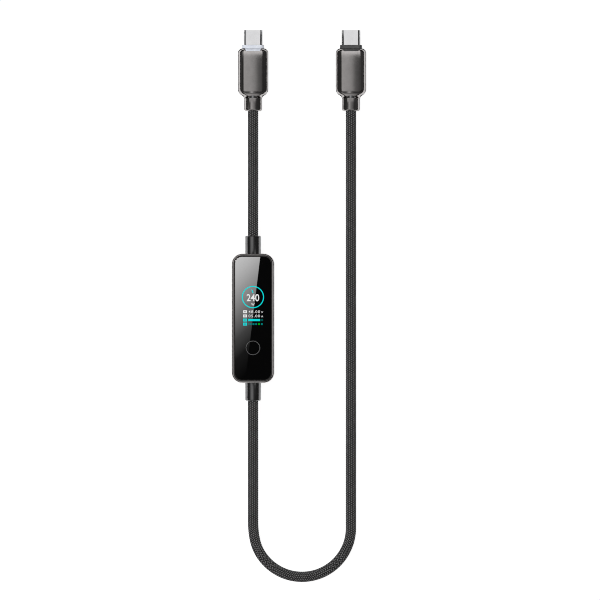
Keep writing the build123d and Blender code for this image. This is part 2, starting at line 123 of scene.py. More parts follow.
# A 32-carrier braid, two over and two under: 16 strands wind each way round a dark jacket. The
# long cord's braid is turned a little further about its cord than the short one's.
strands_each_way = 16
strands_in_piece = 8
long_braid_turn = math.radians(11.25)
braid_pitch = 16 * MM
crossing_step = braid_pitch / (2 * strands_each_way)
jacket_radius = 1.96 * MM
weave_radius = 2.15 * MM
weave_depth = 0.12 * MM
strand_width = 0.50 * MM
strand_thickness = 0.18 * MM
strand_sides = 5
strand_step = 0.25 * MM
# How much lower a strand's sides count than its top in the rise, which its finish paints as shade along
# the sides.
side_shade_drop = 1.0


def route_curve(name, route):
    data = bpy.data.curves.new(name, "CURVE")
    data.dimensions = "3D"
    data.resolution_u = 48
    spline = data.splines.new("NURBS")
    spline.points.add(len(route) - 1)
    for point, place in zip(spline.points, route):
        point.co = (*place, 1.0)
    spline.order_u = 3
    spline.use_endpoint_u = True
    curve = bpy.data.objects.new(name, data)
    bpy.context.scene.collection.objects.link(curve)
    return curve


def line_of(curve):
    """Points along the middle of a curve that has no bevel yet, evenly spaced."""
    bpy.context.view_layer.update()
    mesh = bpy.data.meshes.new_from_object(curve)
    points = np.array([v.co for v in mesh.vertices])
    bpy.data.meshes.remove(mesh)
    reach = np.concatenate([[0], np.cumsum(np.linalg.norm(np.diff(points, axis=0), axis=1))])
    along = np.linspace(0, reach[-1], int(reach[-1] / strand_step) + 1)
    line = np.stack([np.interp(along, reach, points[:, i]) for i in range(3)], axis=1)
    return along, line


def steady_frames(line):
    """A side and an upward direction at each point of a line, that turn with it and don't twist."""
    tangents = np.gradient(line, axis=0)
    tangents /= np.linalg.norm(tangents, axis=1)[:, None]
    ups = np.zeros_like(line)
    up = np.array([0.0, 0.0, 1.0])
    for i, tangent in enumerate(tangents):
        up = up - tangent * (up @ tangent)
        up = up / np.linalg.norm(up)
        ups[i] = up
    return np.cross(tangents, ups), ups


def strand(along, line, sides, ups, number, turn, start):
    """One strand of the braid as rings of points. turn is 1 or -1, the way that it winds, and
    start is how far the whole braid is turned about the cord."""
    angle = start + 2 * math.pi * (turn * along / braid_pitch + number / strands_each_way)
    step = along / crossing_step
    if turn == 1:
        wave = np.cos(math.pi / 2 * (step + 2 * number - 0.5))
    else:
        wave = -np.cos(math.pi / 2 * (2 * number - step - 0.5))
    radius = weave_radius + weave_depth * wave
    outward = np.cos(angle)[:, None] * sides + np.sin(angle)[:, None] * ups
    middle = line + radius[:, None] * outward
    heading = np.gradient(middle, axis=0)
    heading /= np.linalg.norm(heading, axis=1)[:, None]
    across = np.cross(heading, outward)
    across /= np.linalg.norm(across, axis=1)[:, None]
    upward = np.cross(across, heading)
    ring = math.pi / 2 + 2 * math.pi * np.arange(strand_sides) / strand_sides
    wide = (strand_width / 2 * np.cos(ring))[None, :, None] * across[:, None, :]
    thick = (strand_thickness / 2 * np.sin(ring))[None, :, None] * upward[:, None, :]
    # The rise follows the weave and drops at the strand's sides; the braid's finish paints it as
    # highlight and shade.
    rise = wave[:, None] + side_shade_drop * (np.sin(ring) - 1)[None, :]
    return middle[:, None, :] + wide + thick, rise


def rings_to_mesh(name, tubes):
    """A mesh of closed tubes, each given as its rings of points and a rise for each point, which the
    braid's finish paints as highlight and shade.
    """
    points, faces, rises, start = [], [], [], 0
    for rings, rise in tubes:
        count, around = rings.shape[:2]
        points.append(rings.reshape(-1, 3))
        rises.append(rise.reshape(-1))
        first = (start + np.arange(count - 1) * around)[:, None]
        second = first + around
        here = np.arange(around)[None, :]
        there = (here + 1) % around
        quads = np.stack([first + here, first + there, second + there, second + here], -1)
        faces += quads.reshape(-1, 4).tolist()
        faces.append([start + i for i in reversed(range(around))])
        faces.append([start + (count - 1) * around + i for i in range(around)])
        start += count * around
    mesh = bpy.data.meshes.new(name)
    mesh.from_pydata(np.concatenate(points).tolist(), [], faces)
    mesh.polygons.foreach_set("use_smooth", [True] * len(mesh.polygons))
    mesh.attributes.new("rise", "FLOAT", "POINT").data.foreach_set("value", np.concatenate(rises))
    mesh.update()
    piece = bpy.data.objects.new(name, mesh)
    bpy.context.scene.collection.objects.link(piece)
    return piece


def braided_cord(name, route, start, jacket, nylon):
    """The jacket on the route's curve, and the braid's strands round it."""
    curve = route_curve(f"{name}_cord_jacket", route)
    along, line = line_of(curve)
    curve.data.bevel_depth = jacket_radius
    curve.data.bevel_resolution = 6
    curve.data.use_fill_caps = True
    curve.data.materials.append(jacket)
    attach(curve, "meter")
    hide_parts(f"{name}_cord")

    sides, ups = steady_frames(line)
    for turn, way in ((1, "right"), (-1, "left")):
        for first in range(0, strands_each_way, strands_in_piece):
            numbers = range(first, first + strands_in_piece)
            tubes = [strand(along, line, sides, ups, number, turn, start) for number in numbers]
            piece = rings_to_mesh(f"{name}_cord_braid_{way}_{first // strands_in_piece + 1}", tubes)
            piece.data.materials.append(nylon)
            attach(piece, "meter")


# ---------------------------------------------------------------- plug housings
# A housing's faces are crowned along the plug and roll over at the sides in wide arcs. Its nose
# has small corners, and its shoulders curve in and then out again to meet the tail sleeve.
side_radius = 2.7 * MM
crown_rise = 0.55 * MM
corner_radius = 2.0 * MM
shoulder_bend, shoulder_flare = 3.3 * MM, 2.2 * MM
bend_angle, flare_angle = math.radians(62), math.radians(30)
nose_roll, nose_drop = 1.6 * MM, 1.6 * MM
tail_roll, tail_drop = 4.0 * MM, 2.2 * MM
notch_length, notch_depth = 1.35 * MM, 0.15 * MM
notch_half_width, notch_tip_half_width = 3.575 * MM, 3.15 * MM
tail_straight = 0.42 * MM
points_around = 176


def half_width_at(from_nose, from_tail, widest):
    """The housing's half width at a distance from each of its ends."""
    if from_nose < corner_radius:
        return widest - corner_radius + math.sqrt(corner_radius**2 - (corner_radius - from_nose) ** 2)
    bend_drop = shoulder_bend * (1 - math.cos(bend_angle))
    bend_reach = shoulder_bend * math.sin(bend_angle)
    flare_reach = shoulder_flare * (math.sin(bend_angle) - math.sin(flare_angle))
    into_bend = bend_reach + flare_reach + tail_straight - from_tail
    if into_bend <= 0:
        return widest
    if into_bend < bend_reach:
        return widest - shoulder_bend + math.sqrt(shoulder_bend**2 - into_bend**2)
    sine = math.sin(bend_angle) - min(into_bend - bend_reach, flare_reach) / shoulder_flare
    return widest - bend_drop - shoulder_flare * (math.sqrt(1 - sine**2) - math.cos(bend_angle))


def housing_skin(name, x, low, high):
    """A plug's metal housing, as rings round it from its nose to its tail, closer together where
    its outline turns. The shallow notch at its nose takes the nose ring's tongue."""
    widest = (high.x - low.x) / 2
    middle = (low.z + high.z) / 2
    length = high.y - low.y
    crown = high.z - middle
    bunched = 1 - np.cos(np.linspace(0, math.pi / 2, 26))
    nose = np.concatenate([corner_radius * bunched[::2], [2.4 * MM, 3 * MM]])
    tail = length - np.concatenate([bunched[:14] * tail_roll, np.linspace(1.5 * MM, 5.5 * MM, 28)])
    stations = np.concatenate([nose, np.linspace(4 * MM, tail[-1] - 1 * MM, 12), tail[::-1]])
    round_it = 2 * math.pi * np.arange(points_around) / points_around
    rings = np.zeros((len(stations), len(round_it), 3))
    for ring, from_nose in zip(rings, stations):
        half = half_width_at(from_nose, length - from_nose, widest)
        across = half * np.cos(round_it)
        inward = np.clip((half - np.abs(across)) / side_radius, 0, 1)
        height = (crown - crown_rise * (across / widest) ** 2) * np.sqrt(1 - (1 - inward) ** 2)
        for from_end, roll, drop in (
            (from_nose, nose_roll, nose_drop), (length - from_nose, tail_roll, tail_drop),
        ):
            edge = min(max(1 - from_end / roll, 0), 1)
            height = height * (1 - (1 - math.sqrt(1 - edge**2)) * drop / crown)
        taper = from_nose / notch_length
        notch = notch_half_width + (notch_tip_half_width - notch_half_width) * taper
        if taper < 1:
            height = height - notch_depth * (np.abs(across) < notch)
        ring[:, 0] = x + across
        ring[:, 1] = high.y - from_nose
        ring[:, 2] = middle + height * np.sign(np.sin(round_it))
    skin = rings_to_mesh(name, [(rings, np.zeros(rings.shape[:2]))])
    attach(skin, "meter")
    return skin


for plug in plug_xs:
    low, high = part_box(f"{plug}_plug_housing")
    skin = housing_skin(f"{plug}_plug_housing_skin", (low.x + high.x) / 2, low, high)
    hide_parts(f"{plug}_plug_housing")


# ---------------------------------------------------------------- materials
class Shader:
    """A material with one Principled shader, and the few nodes that the finishes share. Sizes of
    noise and heights of bumps are in metres."""

    def __init__(self, name, roughness=0.5, metallic=0.0):
        self.material = bpy.data.materials.new(name)
        self.material.use_nodes = True
        self.tree = self.material.node_tree
        self.shader = self.tree.nodes["Principled BSDF"]
        self.shader.inputs["Roughness"].default_value = roughness
        self.shader.inputs["Metallic"].default_value = metallic
        self.place = self.tree.nodes.new("ShaderNodeTexCoord").outputs["Object"]

    def set(self, **values):
        for name, value in values.items():
            self.shader.inputs[name.replace("_", " ")].default_value = value

    def stretched(self, scale):
        """The place on the object, scaled by a factor along each axis."""
        mapping = self.tree.nodes.new("ShaderNodeMapping")
        mapping.inputs["Scale"].default_value = scale
        self.tree.links.new(self.place, mapping.inputs["Vector"])
        return mapping.outputs["Vector"]

    def noise(self, size, detail=2.0, place=None):
        node = self.tree.nodes.new("ShaderNodeTexNoise")
        node.inputs["Scale"].default_value = 1 / size
        node.inputs["Detail"].default_value = detail
        self.tree.links.new(place or self.place, node.inputs["Vector"])
        return node.outputs["Fac"]

    def ranged(self, value, low, high, new_low, new_high):
        node = self.tree.nodes.new("ShaderNodeMapRange")
        ends = {"From Min": low, "From Max": high, "To Min": new_low, "To Max": new_high}
        for name, number in ends.items():
            node.inputs[name].default_value = number
        self.tree.links.new(value, node.inputs["Value"])
        return node.outputs["Result"]

    def colours(self, value, *stops):
        """Colour by value, from (position, (r, g, b)) stops."""
        node = self.tree.nodes.new("ShaderNodeValToRGB")
        ramp = node.color_ramp
        while len(ramp.elements) < len(stops):
            ramp.elements.new(1.0)
        for element, (position, colour) in zip(ramp.elements, stops):
            element.position = position
            element.color = (*colour, 1.0)
        self.tree.links.new(value, node.inputs["Fac"])
        self.tree.links.new(node.outputs["Color"], self.shader.inputs["Base Color"])

    def rough(self, value, low, high):
        self.tree.links.new(self.ranged(value, 0.3, 0.7, low, high), self.shader.inputs["Roughness"])

    def bump(self, value, height, strength=1.0):
        node = self.tree.nodes.new("ShaderNodeBump")
        node.inputs["Distance"].default_value = height
        node.inputs["Strength"].default_value = strength
        self.tree.links.new(value, node.inputs["Height"])
        self.tree.links.new(node.outputs["Normal"], self.shader.inputs["Normal"])


def plastic(name, dark, light, roughness, grain=0.12 * MM, height=0.004 * MM):
    made = Shader(name)
    made.colours(made.noise(1.5 * MM, 4.0), (0.35, dark), (0.65, light))
    made.rough(made.noise(0.6 * MM), roughness * 0.85, roughness * 1.15)
    made.bump(made.noise(grain), height)
    return made.material


def metal(name, dark, light, roughness, brushing=(1, 1, 1), height=0.0004 * MM):
    made = Shader(name, metallic=1.0)
    marks = made.noise(0.25 * MM, 3.0, made.stretched(brushing))
    made.colours(made.noise(2.5 * MM, 3.0), (0.35, dark), (0.65, light))
    made.rough(marks, roughness * 0.8, roughness * 1.25)
    made.bump(marks, height)
    return made.material


def gloss(name, colour, roughness):
    """Black glass or hard polished plastic: almost flat, with faint unevenness in its polish."""
    made = Shader(name)
    made.colours(made.noise(4 * MM), (0.3, colour), (0.7, tuple(c * 1.3 for c in colour)))
    made.rough(made.noise(3 * MM), roughness * 0.7, roughness * 1.3)
    return made.material


def circuit_board():
    """Green solder mask with lighter tracks under it."""
    made = Shader("finish_circuit_board", roughness=0.35)
    brick = made.tree.nodes.new("ShaderNodeTexBrick")
    brick.inputs["Scale"].default_value = 1 / (3 * MM)
    brick.inputs["Mortar Size"].default_value = 0.05
    made.tree.links.new(made.place, brick.inputs["Vector"])
    made.colours(brick.outputs["Fac"], (0.2, (0.006, 0.05, 0.02)), (0.8, (0.02, 0.13, 0.05)))
    made.bump(brick.outputs["Fac"], 0.02 * MM)
    return made.material


def amber_flex():
    """Amber film with copper tracks along it."""
    made = Shader("finish_amber_flex", roughness=0.3)
    wave = made.tree.nodes.new("ShaderNodeTexWave")
    wave.inputs["Scale"].default_value = 1 / (2.4 * MM)
    made.tree.links.new(made.place, wave.inputs["Vector"])
    made.colours(wave.outputs["Fac"], (0.45, (0.42, 0.16, 0.02)), (0.55, (0.62, 0.30, 0.07)))
    return made.material


def nylon_yarn():
    """Black yarn, with painted highlight where a strand rides over the others and painted shade where it
    dips and along its sides; noise varies the tone a little.
    """
    made = Shader("nylon_braid_painted_highlight_and_shade")
    rise = made.tree.nodes.new("ShaderNodeAttribute")
    rise.attribute_name = "rise"
    mix = made.tree.nodes.new("ShaderNodeMath")
    mix.operation = "ADD"
    made.tree.links.new(made.ranged(rise.outputs["Fac"], -1, 1, 0.0, 1.0), mix.inputs[0])
    made.tree.links.new(made.ranged(made.noise(0.4 * MM, 4.0), 0.3, 0.7, -0.08, 0.08), mix.inputs[1])
    # The ramp paints shade where the rise is low and highlight where it is high.
    made.colours(
        mix.outputs["Value"],
        (0.42, (0.014, 0.014, 0.014)),
        (0.62, (0.045, 0.045, 0.045)),
        (0.82, (0.14, 0.139, 0.14)),
        (1.0, (0.24, 0.238, 0.24)),
    )
    made.rough(made.noise(0.3 * MM), 0.5, 0.7)
    made.set(Specular_IOR_Level=0.3)
    return made.material


def lit(name, colour, strength):
    """A part of the display's picture, which gives its own light."""
    made = Shader(name, roughness=0.6)
    made.set(Specular_IOR_Level=0.0)
    made.set(Emission_Color=(*colour, 1.0), Emission_Strength=strength)
    grain = made.noise(0.08 * MM)
    made.colours(grain, (0.3, tuple(c * 0.02 for c in colour)), (0.7, tuple(c * 0.03 for c in colour)))
    return made.material


finishes = {
    "black_plastic": plastic("finish_black_plastic", (0.010, 0.010, 0.011), (0.016, 0.016, 0.017), 0.42),
    "frame_metal": metal("finish_frame_metal", (0.68, 0.65, 0.64), (0.72, 0.69, 0.68), 0.10),
    "black_gloss": gloss("finish_black_gloss", (0.0006, 0.0006, 0.0007), 0.02),
    "ring_metal": metal("finish_ring_metal", (0.62, 0.62, 0.63), (0.70, 0.70, 0.71), 0.5),
    "black_tape": plastic("finish_black_tape", (0.008, 0.008, 0.008), (0.012, 0.012, 0.012), 0.75),
    "display_glass": gloss("finish_display_glass", (0.004, 0.004, 0.006), 0.03),
    "light_guide": plastic("finish_light_guide", (0.72, 0.75, 0.74), (0.80, 0.82, 0.80), 0.25),
    "white_plastic": plastic("finish_white_plastic", (0.68, 0.68, 0.66), (0.76, 0.76, 0.74), 0.45),
    "amber_flex": amber_flex(),
    "circuit_board": circuit_board(),
    "chip_black": plastic("finish_chip_black", (0.012, 0.012, 0.013), (0.022, 0.022, 0.023), 0.55),
    "steel": metal("finish_steel", (0.50, 0.50, 0.51), (0.58, 0.58, 0.59), 0.28),
    "ceramic_tan": plastic("finish_ceramic_tan", (0.38, 0.25, 0.14), (0.50, 0.34, 0.20), 0.5),
    "wire_jacket": plastic("finish_wire_jacket", (0.03, 0.03, 0.03), (0.05, 0.05, 0.05), 0.5),
    "relief_gloss": metal("finish_relief_gloss", (0.235, 0.235, 0.238), (0.255, 0.255, 0.258), 0.14),
    "nylon_braid": nylon_yarn(),
    "gunmetal": metal("finish_gunmetal", (0.53, 0.508, 0.50), (0.58, 0.556, 0.548), 0.13),
    "steel_shell": metal("finish_steel_shell", (0.76, 0.76, 0.77), (0.80, 0.80, 0.81), 0.12),
    "gold_contact": metal("finish_gold_contact", (0.80, 0.55, 0.20), (0.90, 0.65, 0.27), 0.22),
    "milky_plastic": plastic("finish_milky_plastic", (0.60, 0.63, 0.70), (0.66, 0.69, 0.75), 0.3),
    "dark_plastic": plastic("finish_dark_plastic", (0.045, 0.045, 0.046), (0.060, 0.060, 0.061), 0.4),
}
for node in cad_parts.values():
    for place in node.material_slots:
        place.material = finishes[place.material.name]

for plug in plug_xs:
    bpy.data.objects[f"{plug}_plug_housing_skin"].data.materials.append(finishes["gunmetal"])



def snap_dome():
    """The switch's dome, as a copy with a mesh of its own that rides with the meter in place of its node.
    """
    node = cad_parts["switch_dome"]
    dome = bpy.data.objects.new("switch_snap_dome", node.data.copy())
    dome.matrix_world = node.matrix_world
    bpy.context.scene.collection.objects.link(dome)
    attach(dome, "meter")
    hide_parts("switch_dome")
    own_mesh(dome)


snap_dome()
jacket_finish = plastic("finish_cord_jacket", (0.006, 0.006, 0.006), (0.011, 0.011, 0.011), 0.7)
yarn = finishes["nylon_braid"]
braided_cord("short", short_route, 0.0, jacket_finish, yarn)
braided_cord("long", long_route, long_braid_turn, jacket_finish, yarn)


# ---------------------------------------------------------------- the display's picture
picture_low = lens_top + 0.004 * MM
picture_thickness = 0.012 * MM
cyan = lit("finish_cyan_light", (0.004, 0.68, 0.68), 1.0)
white = lit("finish_white_light", (0.80, 0.80, 0.80), 1.0)
teal = lit("finish_teal_light", (0.0, 0.09, 0.08), 1.0)
bright_teal = lit("finish_bright_teal_light", (0.0, 0.20, 0.19), 1.0)
green = lit("finish_green_light", (0.0, 0.40, 0.01), 1.0)


def show_on_lens(name, mesh):
    piece = bpy.data.objects.new(name, mesh)
    bpy.context.scene.collection.objects.link(piece)
    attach(piece, "meter")


def add_picture(name, outlines, material):
    """A thin solid over the lens, of one or more outlines in millimetres in the lens's plane."""
    points, faces = [], []
    for outline in outlines:
        count, start = len(outline), len(points)
        for height in (picture_low, picture_low + picture_thickness):
            points += [(x * MM, y * MM, height) for x, y in outline]
        faces.append([start + i for i in reversed(range(count))])
        faces.append([start + count + i for i in range(count)])
        for i in range(count):
            j = (i + 1) % count
            faces.append([start + i, start + j, start + count + j, start + count + i])
    mesh = bpy.data.meshes.new(name)
    mesh.from_pydata(points, [], faces)
    mesh.materials.append(material)
    show_on_lens(name, mesh)


def bar(x, y, width, height):
    """A bar's outline by its middle, in millimetres."""
    return [
        (x - width / 2, y - height / 2),
        (x + width / 2, y - height / 2),
        (x + width / 2, y + height / 2),
        (x - width / 2, y + height / 2),
    ]


def icon(x, y):
    """A small square icon: a border with a dot in it."""
    return [
        bar(x, y + 0.45, 1.7, 0.38), bar(x, y - 0.45, 1.7, 0.38),
        bar(x - 0.62, y, 0.46, 0.52), bar(x + 0.62, y, 0.46, 0.52), bar(x, y, 0.3, 0.52),
    ]


def disc(x, y, radius, sides=48):
    turns = [2 * math.pi * i / sides for i in range(sides)]
    return [(x + radius * math.cos(t), y + radius * math.sin(t)) for t in turns]


def ring(x, y, radius, width, sides=96):
    """A ring as short joined outlines."""
    outlines = []
    for i in range(sides):
        a, b = 2 * math.pi * i / sides, 2 * math.pi * (i + 1) / sides
        corners = [(radius, a), (radius, b), (radius - width, b), (radius - width, a)]
        outlines.append([(x + r * math.cos(t), y + r * math.sin(t)) for r, t in reversed(corners)])
    return outlines


def add_digits(name, text, x, y, width, height, weight, material, spacing=1.0):
    """Numbers and unit signs fitted to a box, whose middle is x, y in millimetres."""
    data = bpy.data.curves.new(name, "FONT")
    data.body = text
    data.offset = weight
    data.extrude = 0.5
    data.space_character = spacing
    data.resolution_u = 6
    writing = bpy.data.objects.new(name, data)
    bpy.context.scene.collection.objects.link(writing)
    bpy.context.view_layer.update()
    mesh = bpy.data.meshes.new_from_object(writing)
    bpy.data.objects.remove(writing)
    points = np.array([v.co for v in mesh.vertices])
    low, high = points.min(0), points.max(0)
    size = np.array([width * MM, height * MM, picture_thickness])
    corner = np.array([(x - width / 2) * MM, (y - height / 2) * MM, picture_low])
    points = corner + (points - low) / (high - low) * size
    mesh.vertices.foreach_set("co", points.ravel())
    mesh.update()
    mesh.materials.clear()
    mesh.materials.append(material)
    show_on_lens(name, mesh)


# Places and sizes on the display, in millimetres.
dial_y = 9.44
row_x, icon_x, unit_x = 0.6, -3.5, 4.1
volts_y, amps_y, bar_y, marks_y = 2.9, 1.03, -0.8, -2.6
time_mark_xs = (-1.8, -1.1, -0.4, 0.3, 1.0, 1.6)
add_picture("display_dial_ring", ring(0, dial_y, 4.96, 0.44), cyan)
add_picture("display_dial_pointer", [[(-0.75, 12.95), (-0.3, 11.5), (0.35, 11.05), (-0.05, 12.35)]], cyan)
add_digits("display_dial_value", "240", 0, 9.17, 5.6, 3.2, 0.012, white)
add_digits("display_dial_unit", "W", 0, 6.17, 1.5, 1.15, 0.01, white)
add_digits("display_volts", "48.00", row_x, volts_y, 5.1, 1.2, 0.004, white, 1.25)
add_digits("display_volts_unit", "V", unit_x, 2.7, 0.95, 0.8, 0.004, white)
add_digits("display_amps", "05.00", row_x, amps_y, 5.1, 1.2, 0.004, white, 1.25)
add_digits("display_amps_unit", "A", unit_x, 0.83, 0.95, 0.8, 0.004, white)
add_picture("display_row_marks", icon(icon_x, volts_y) + icon(icon_x, amps_y), white)
add_picture("display_lower_marks", icon(icon_x, bar_y) + icon(icon_x, marks_y), cyan)
add_picture("display_charge_bar", [bar(0.55, bar_y, 5.3, 0.95)], cyan)
add_picture("display_charge_end", [bar(unit_x, bar_y, 0.8, 0.9)], teal)
add_picture(
    "display_time_marks",
    [bar(x, marks_y, 0.45, 0.8) for x in time_mark_xs] + [bar(4.0, marks_y, 0.7, 0.8)],
    bright_teal,
)
add_picture("display_green_light", [disc(2.7, marks_y, 0.45)], green)


# ---------------------------------------------------------------- studio
def emitting(name, strength=1.0):
    material = bpy.data.materials.new(name)
    material.use_nodes = True
    tree = material.node_tree
    tree.nodes.clear()
    light = tree.nodes.new("ShaderNodeEmission")
    light.inputs["Strength"].default_value = strength
    out = tree.nodes.new("ShaderNodeOutputMaterial")
    tree.links.new(light.outputs["Emission"], out.inputs["Surface"])
    return material, tree, light


def grey_ramp(tree, value, stops, brightest):
    """Grey by value, from (place, strength) stops, with the brightest strength as white."""
    first, last = stops[0][0], stops[-1][0]
    spread = tree.nodes.new("ShaderNodeMapRange")
    spread.inputs["From Min"].default_value = first
    spread.inputs["From Max"].default_value = last
    ramp = tree.nodes.new("ShaderNodeValToRGB")
    while len(ramp.color_ramp.elements) < len(stops):
        ramp.color_ramp.elements.new(1.0)
    for element, (place, strength) in zip(ramp.color_ramp.elements, stops):
        element.position = (place - first) / (last - first)
        element.color = (*[strength / brightest] * 3, 1.0)
    tree.links.new(value, spread.inputs["Value"])
    tree.links.new(spread.outputs["Result"], ramp.inputs["Fac"])
    return ramp.outputs["Color"]


def along_direction(tree, place, direction):
    """How far a place lies along a direction in the plane of the table."""
    node = tree.nodes.new("ShaderNodeVectorMath")
    node.operation = "DOT_PRODUCT"
    node.inputs[1].default_value = (*direction, 0)
    tree.links.new(place, node.inputs[0])
    return node.outputs["Value"]


def reflector(name, corners, height, direction, stops):
    """A studio card that only reflections show, at one height or at one for each corner. Its light
    runs through (place, strength) stops along a direction, in millimetres; one stop is even."""
    material, tree, light = emitting(f"studio_{name}")
    if len(stops) == 1:
        light.inputs["Strength"].default_value = stops[0][1]
    else:
        strongest = max(strength for _, strength in stops)
        place = tree.nodes.new("ShaderNodeTexCoord").outputs["Object"]
        across = along_direction(tree, place, direction)
        placed = [(where * MM, strength) for where, strength in stops]
        light.inputs["Strength"].default_value = strongest
        tree.links.new(grey_ramp(tree, across, placed, strongest), light.inputs["Color"])
    mesh = bpy.data.meshes.new(name)
    heights = height if hasattr(height, "__len__") else [height] * len(corners)
    points = [(x * MM, y * MM, z) for (x, y), z in zip(corners, heights)]
    mesh.from_pydata(points, [], [list(range(len(corners)))])
    mesh.materials.append(material)
    card = bpy.data.objects.new(name, mesh)
    bpy.context.scene.collection.objects.link(card)
    card.visible_camera = False
    card.visible_diffuse = False
    card.visible_shadow = False
    card.visible_transmission = False


def box_corners(left, right, bottom, top):
    return [(left, bottom), (right, bottom), (right, top), (left, top)]


RIGHTWARD = (1, 0)

# The meter's glass reflects a dark ceiling with one slanted bright window in it, which fades
# from the upper left to the lower right. A card beyond the meter's right side gives the frame
# something bright to reflect.
ceiling_height = meter_top + 30 * MM
window_height = lens_top + 4 * MM
half_width, half_length = meter_high.x / MM, meter_high.y / MM
lens_half_width, lens_half_length = lens_high.x / MM, lens_high.y / MM
reflector(
    "meter_ceiling",
    box_corners(-half_width - 1, half_width + 1, -half_length - 1, half_length + 1),
    ceiling_height, RIGHTWARD, [(0, 0.03)],
)


def meter_window():
    """A soft window just above the glass, which shines almost straight down, so that only what
    lies under it reflects it, and which is linked to the black gloss nodes alone. It fades from
    the upper left to the lower right, and its right edge slants."""
    data = bpy.data.lights.new("meter_window", "AREA")
    data.shape = "RECTANGLE"
    data.size = 2 * lens_high.x
    data.size_y = 2 * lens_high.y
    data.spread = math.radians(30)
    data.energy = 7.35e-5
    data.use_nodes = True
    tree = data.node_tree
    light = tree.nodes["Emission"]
    place = tree.nodes.new("ShaderNodeNewGeometry").outputs["Position"]

    stops = [(-22, 0.0), (-11, 0.16), (-2, 1.1), (7, 3.2), (17, 6.3), (27, 10.2), (34, 12.4)]
    placed = [(where * MM, strength) for where, strength in stops]
    strongest = stops[-1][1]
    fade = grey_ramp(tree, along_direction(tree, place, (-1, 1)), placed, strongest)
    edge = tree.nodes.new("ShaderNodeMath")
    edge.operation = "LESS_THAN"
    top, bottom = (3.2, 27.4), (-2.9, -23.0)
    slant = (top[0] - bottom[0]) / (top[1] - bottom[1])
    edge.inputs[1].default_value = (top[0] - slant * top[1]) * MM
    strength = tree.nodes.new("ShaderNodeMath")
    strength.operation = "MULTIPLY"
    strength.inputs[1].default_value = strongest
    tree.links.new(fade, light.inputs["Color"])
    tree.links.new(along_direction(tree, place, (1, -slant)), edge.inputs[0])
    tree.links.new(edge.outputs["Value"], strength.inputs[0])
    tree.links.new(strength.outputs["Value"], light.inputs["Strength"])
    lamp = bpy.data.objects.new("meter_window", data)
    lamp.location = (0, 0, window_height)
    lamp.visible_camera = False
    lamp.visible_diffuse = False
    lamp.visible_transmission = False
    bpy.context.scene.collection.objects.link(lamp)
    glossy = bpy.data.collections.new("black_gloss_nodes")
    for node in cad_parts.values():
        if finishes["black_gloss"] in list(node.data.materials):
            glossy.objects.link(node)
    lamp.light_linking.receiver_collection = glossy


meter_window()
reflector("meter_fill", box_corners(13, 30, -30, 30), ceiling_height, RIGHTWARD, [(0, 0.5)])

# Each plug's crowned face reflects a card that is bright on the left and dark on the right and
# at both sides. Its tail sleeve has a narrower one, and its USB shell a white one between two
# black flags. The long plug's face and shell cards are a little higher, because the two face cards
# overlap. Dark shades just over the table keep the white floor out of the rolled edges of the
# plugs and the meter, and an upright flag keeps each plug from reflecting the other's cards.
card_height = plug_high.z + 25 * MM
tail_card_height = plug_high.z + 14 * MM
flag_height = 0.3 * MM
shade_height = 0.15 * MM
plug_start, plug_end = plug_low.y / MM, plug_high.y / MM
shell_end = shell_high.y / MM
for plug, centre in plug_xs.items():
    x = centre / MM
    lift = 0.0 if plug == "short" else 1 * MM
    tail_stops = [
        (x - 12, 0.05), (x - 3.2, 0.1), (x - 1, 0.62), (x + 0.4, 0.16), (x + 2.5, 0.05),
        (x + 12, 0.03),
    ]
    reflector(
        f"{plug}_plug_face_card",
        box_corners(x - 36, x + 12, plug_start - 2, plug_end - 1),
        card_height + lift, RIGHTWARD,
        [
            (x - 36, 0.03), (x - 14, 0.04), (x - 10.5, 0.50), (x - 3, 0.44),
            (x + 1, 0.36), (x + 5, 0.14), (x + 12, 0.03),
        ],
    )
    reflector(
        f"{plug}_plug_tail_card",
        box_corners(x - 12, x + 12, sleeve_start / MM - 0.2, plug_start - 0.8),
        tail_card_height, RIGHTWARD, tail_stops,
    )
    reflector(
        f"{plug}_plug_shell_card",
        box_corners(x - 12, x + 12, plug_end - 1, shell_end + 12),
        card_height + lift, RIGHTWARD, [(0, 0.88)],
    )
    for side, near, far in (("left", -13, -4.3), ("right", 4.3, 13)):
        reflector(
            f"{plug}_plug_{side}_flag",
            box_corners(x + near, x + far, plug_end + 1.7, shell_end + 1),
            flag_height, RIGHTWARD, [(0, 0.02)],
        )
    for part, reach, first, last in (
        ("body", 11.1, plug_start + 1.5, plug_end + 0.5),
        ("tail", 7.2, sleeve_start / MM + 0.3, plug_start + 1.5),
    ):
        reflector(
            f"{plug}_plug_{part}_shade", box_corners(x - reach, x + reach, first, last),
            shade_height, RIGHTWARD, [(0, 0.04)],
        )
between = long_plug_x / MM / 2
flag_start, flag_top = sleeve_start / MM, 45 * MM
reflector(
    "between_plugs_flag",
    [(between, flag_start), (between, shell_end), (between, shell_end), (between, flag_start)],
    (0.0, 0.0, flag_top, flag_top), RIGHTWARD, [(0, 0.03)],
)
reflector(
    "meter_shade",
    box_corners(-half_width - 6, half_width + 6, -half_length + 1, half_length - 1),
    shade_height, RIGHTWARD, [(0, 0.04)],
)


